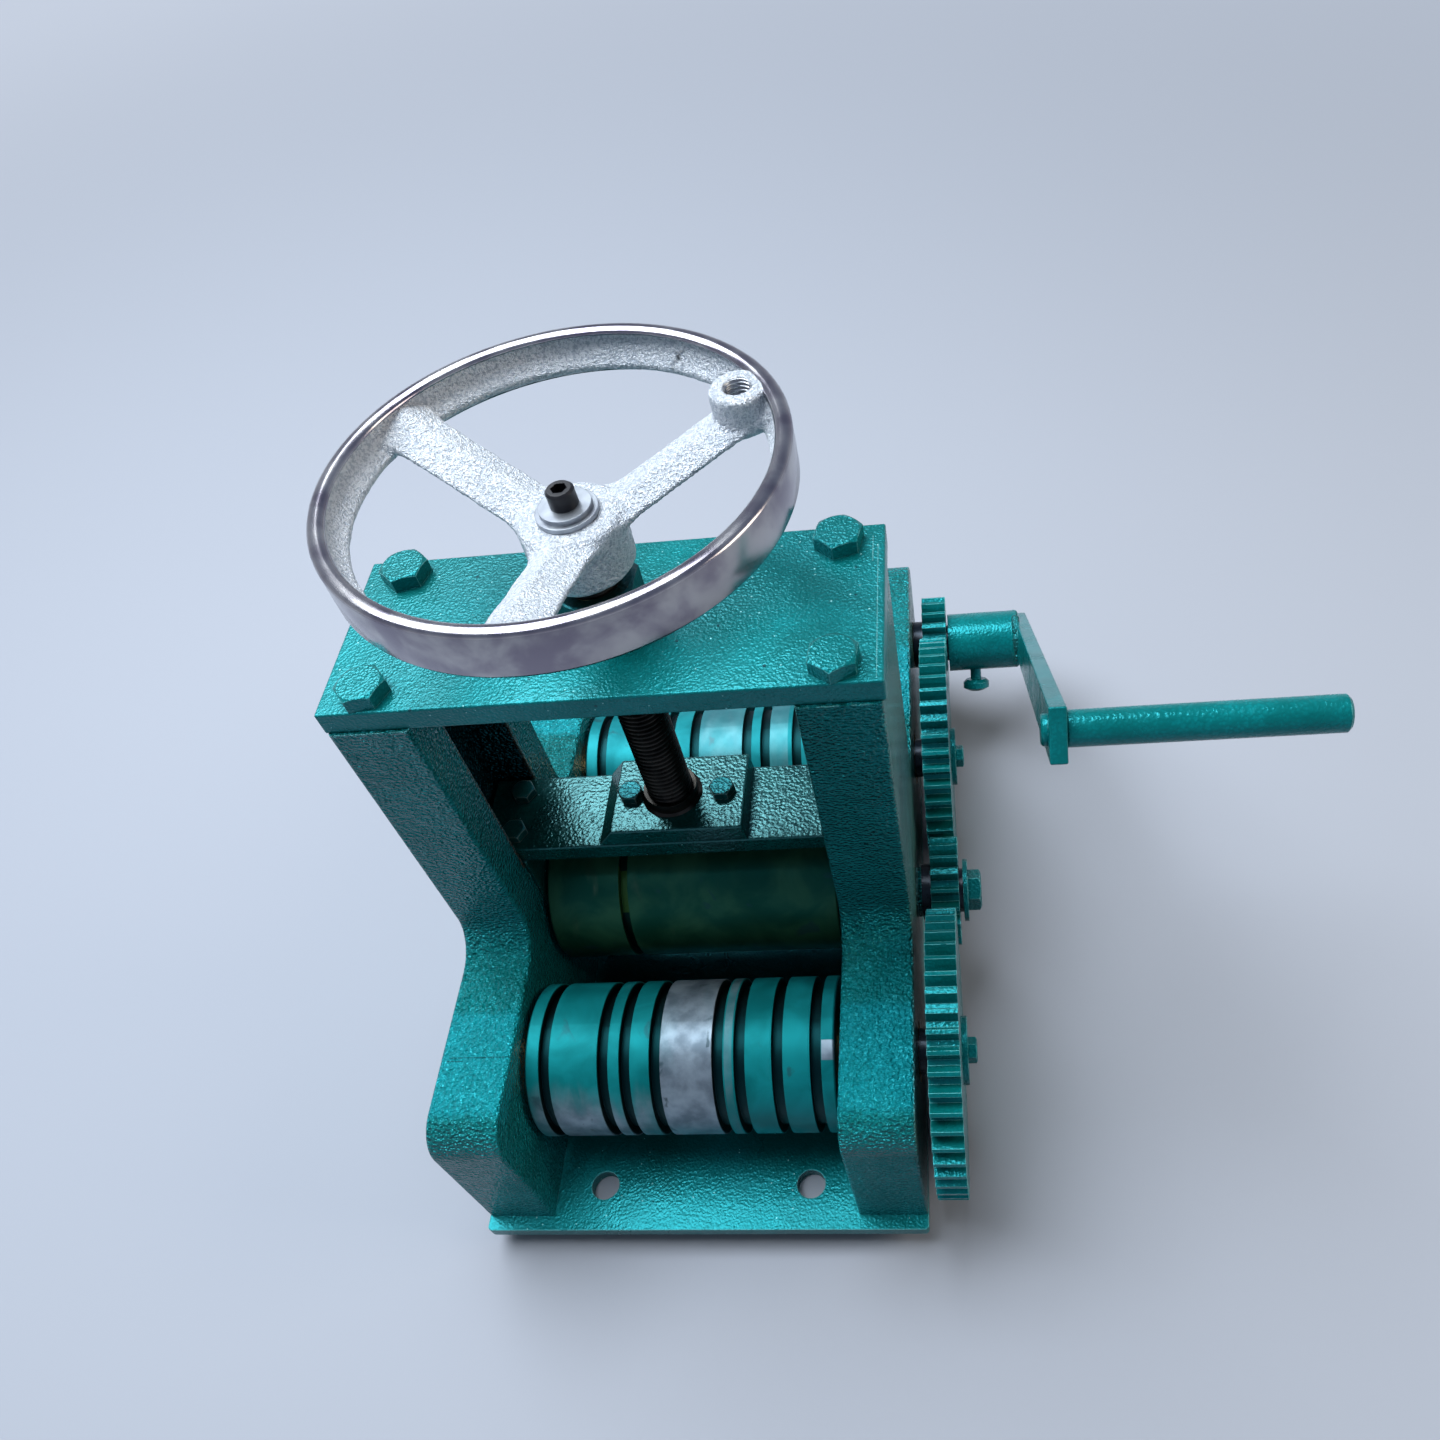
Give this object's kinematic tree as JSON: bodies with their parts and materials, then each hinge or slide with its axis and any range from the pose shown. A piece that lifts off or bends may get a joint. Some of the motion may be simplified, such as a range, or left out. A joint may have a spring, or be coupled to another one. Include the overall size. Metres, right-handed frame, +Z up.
{
  "type": "three-roll tube bender",
  "caption": "Hand-cranked three-roll bender: two geared grooved rollers, a screw-fed pressure roller in a cast frame, top handwheel and side crank.",
  "frame": {"origin": "on the underside of the base plate, straight below the axis of the pressure screw", "axes": "+Z up along the pressure screw, +X along the rollers towards the gears and the crank, +Y towards the crank shaft"},
  "size_m": [0.3717, 0.352, 0.3276],
  "materials": {
    "green_enamel": "glossy brushed-on blue-green enamel over rough castings and bar, chipped at edges",
    "roller_steel": "turned steel, worn bright in the middle, thin green enamel elsewhere",
    "shaft_steel": "turned plain steel",
    "black_steel": "oily black threaded steel",
    "wheel_casting": "chromed and polished rim band, grainy silver casting inside it and on the spokes",
    "bronze": "machined bronze"
  },
  "bodies": {
    "frame": {"base_plate": "green_enamel", "left_frame": "green_enamel", "right_frame": "green_enamel", "foot_screws": "shaft_steel", "top_plate": "green_enamel", "top_plate_bolts": "green_enamel", "screw_nut": "green_enamel", "roller_bushes": "bronze", "crank_bushes": "bronze", "roller_thrust_washers": "bronze", "idler_spacer": "green_enamel", "idler_sleeve": "shaft_steel", "idler_washer": "green_enamel", "idler_bolt": "green_enamel"},
    "rear_roll": {"rear_roller": "roller_steel", "rear_shaft": "shaft_steel", "rear_gear": "green_enamel", "rear_gear_key": "shaft_steel", "rear_gear_washer": "green_enamel", "rear_gear_bolt": "green_enamel"},
    "front_roll": {"front_roller": "roller_steel", "front_shaft": "shaft_steel", "front_gear": "green_enamel", "front_gear_key": "shaft_steel", "front_gear_washer": "green_enamel", "front_gear_bolt": "green_enamel"},
    "idler": {"idler_gear": "green_enamel"},
    "crank": {"crank_shaft": "shaft_steel", "crank_pinion": "green_enamel", "pinion_key": "shaft_steel", "crank_spacer": "shaft_steel", "crank_collar": "shaft_steel", "crank_sleeve": "green_enamel", "crank_arm": "green_enamel", "grip_pin": "shaft_steel"},
    "grip": {"crank_grip": "green_enamel"},
    "clamp": {"clamp_screw": "green_enamel"},
    "yoke": {"crossbar": "green_enamel", "left_block": "green_enamel", "right_block": "green_enamel", "block_bushes": "bronze", "block_bolts": "green_enamel", "keeper": "green_enamel", "keeper_bolts": "green_enamel"},
    "pressure_roll": {"pressure_roller": "roller_steel", "pressure_shaft": "shaft_steel"},
    "spindle": {"pressure_screw": "black_steel", "screw_collar": "black_steel", "handwheel": "wheel_casting", "wheel_key": "shaft_steel", "wheel_washer_large": "shaft_steel", "wheel_washer_small": "shaft_steel", "wheel_screw": "black_steel"}
  },
  "joints": [
    {"name": "rear_roller_turn", "type": "hinge", "parent": "frame", "child": "rear_roll", "pos_m": [0, 0.08375, 0.052], "axis": [1, 0, 0], "continuous": true},
    {"name": "front_roller_turn", "type": "hinge", "parent": "frame", "child": "front_roll", "pos_m": [0, -0.08375, 0.052], "axis": [1, 0, 0], "continuous": true},
    {"name": "idler_turn", "type": "hinge", "parent": "frame", "child": "idler", "pos_m": [0, 0, 0.052], "axis": [1, 0, 0], "continuous": true},
    {"name": "crank_turn", "type": "hinge", "parent": "frame", "child": "crank", "pos_m": [0, 0.1675, 0.052], "axis": [1, 0, 0], "continuous": true},
    {"name": "grip_turn", "type": "hinge", "parent": "crank", "child": "grip", "pos_m": [0.2, -0.02012, 0.19184], "axis": [1, 0, 0], "continuous": true},
    {"name": "clamp_screw_turn", "type": "hinge", "parent": "crank", "child": "clamp", "pos_m": [0.136, 0.1675, 0.052], "axis": [0, -0.5976, -0.8018], "range_deg": [0, 1080]},
    {"name": "yoke_slide", "type": "slide", "parent": "frame", "child": "yoke", "axis": [0, 0, 1], "range_m": [-0.006, 0.085]},
    {"name": "spindle_turn", "type": "hinge", "parent": "yoke", "child": "spindle", "pos_m": [0, 0, 0.2], "axis": [0, 0, 1], "range_deg": [-863.9, 12239.9]},
    {"name": "pressure_roller_turn", "type": "hinge", "parent": "yoke", "child": "pressure_roll", "pos_m": [0, 0, 0.0685], "axis": [1, 0, 0], "continuous": true}
  ],
  "couplings": [
    {"joint": "front_roller_turn", "follows": "rear_roller_turn", "ratio": 1},
    {"joint": "idler_turn", "follows": "rear_roller_turn", "ratio": -2.5263},
    {"joint": "crank_turn", "follows": "rear_roller_turn", "ratio": -2.5263},
    {"joint": "yoke_slide", "follows": "spindle_turn", "m_per_rad": 0.00039789}
  ]
}
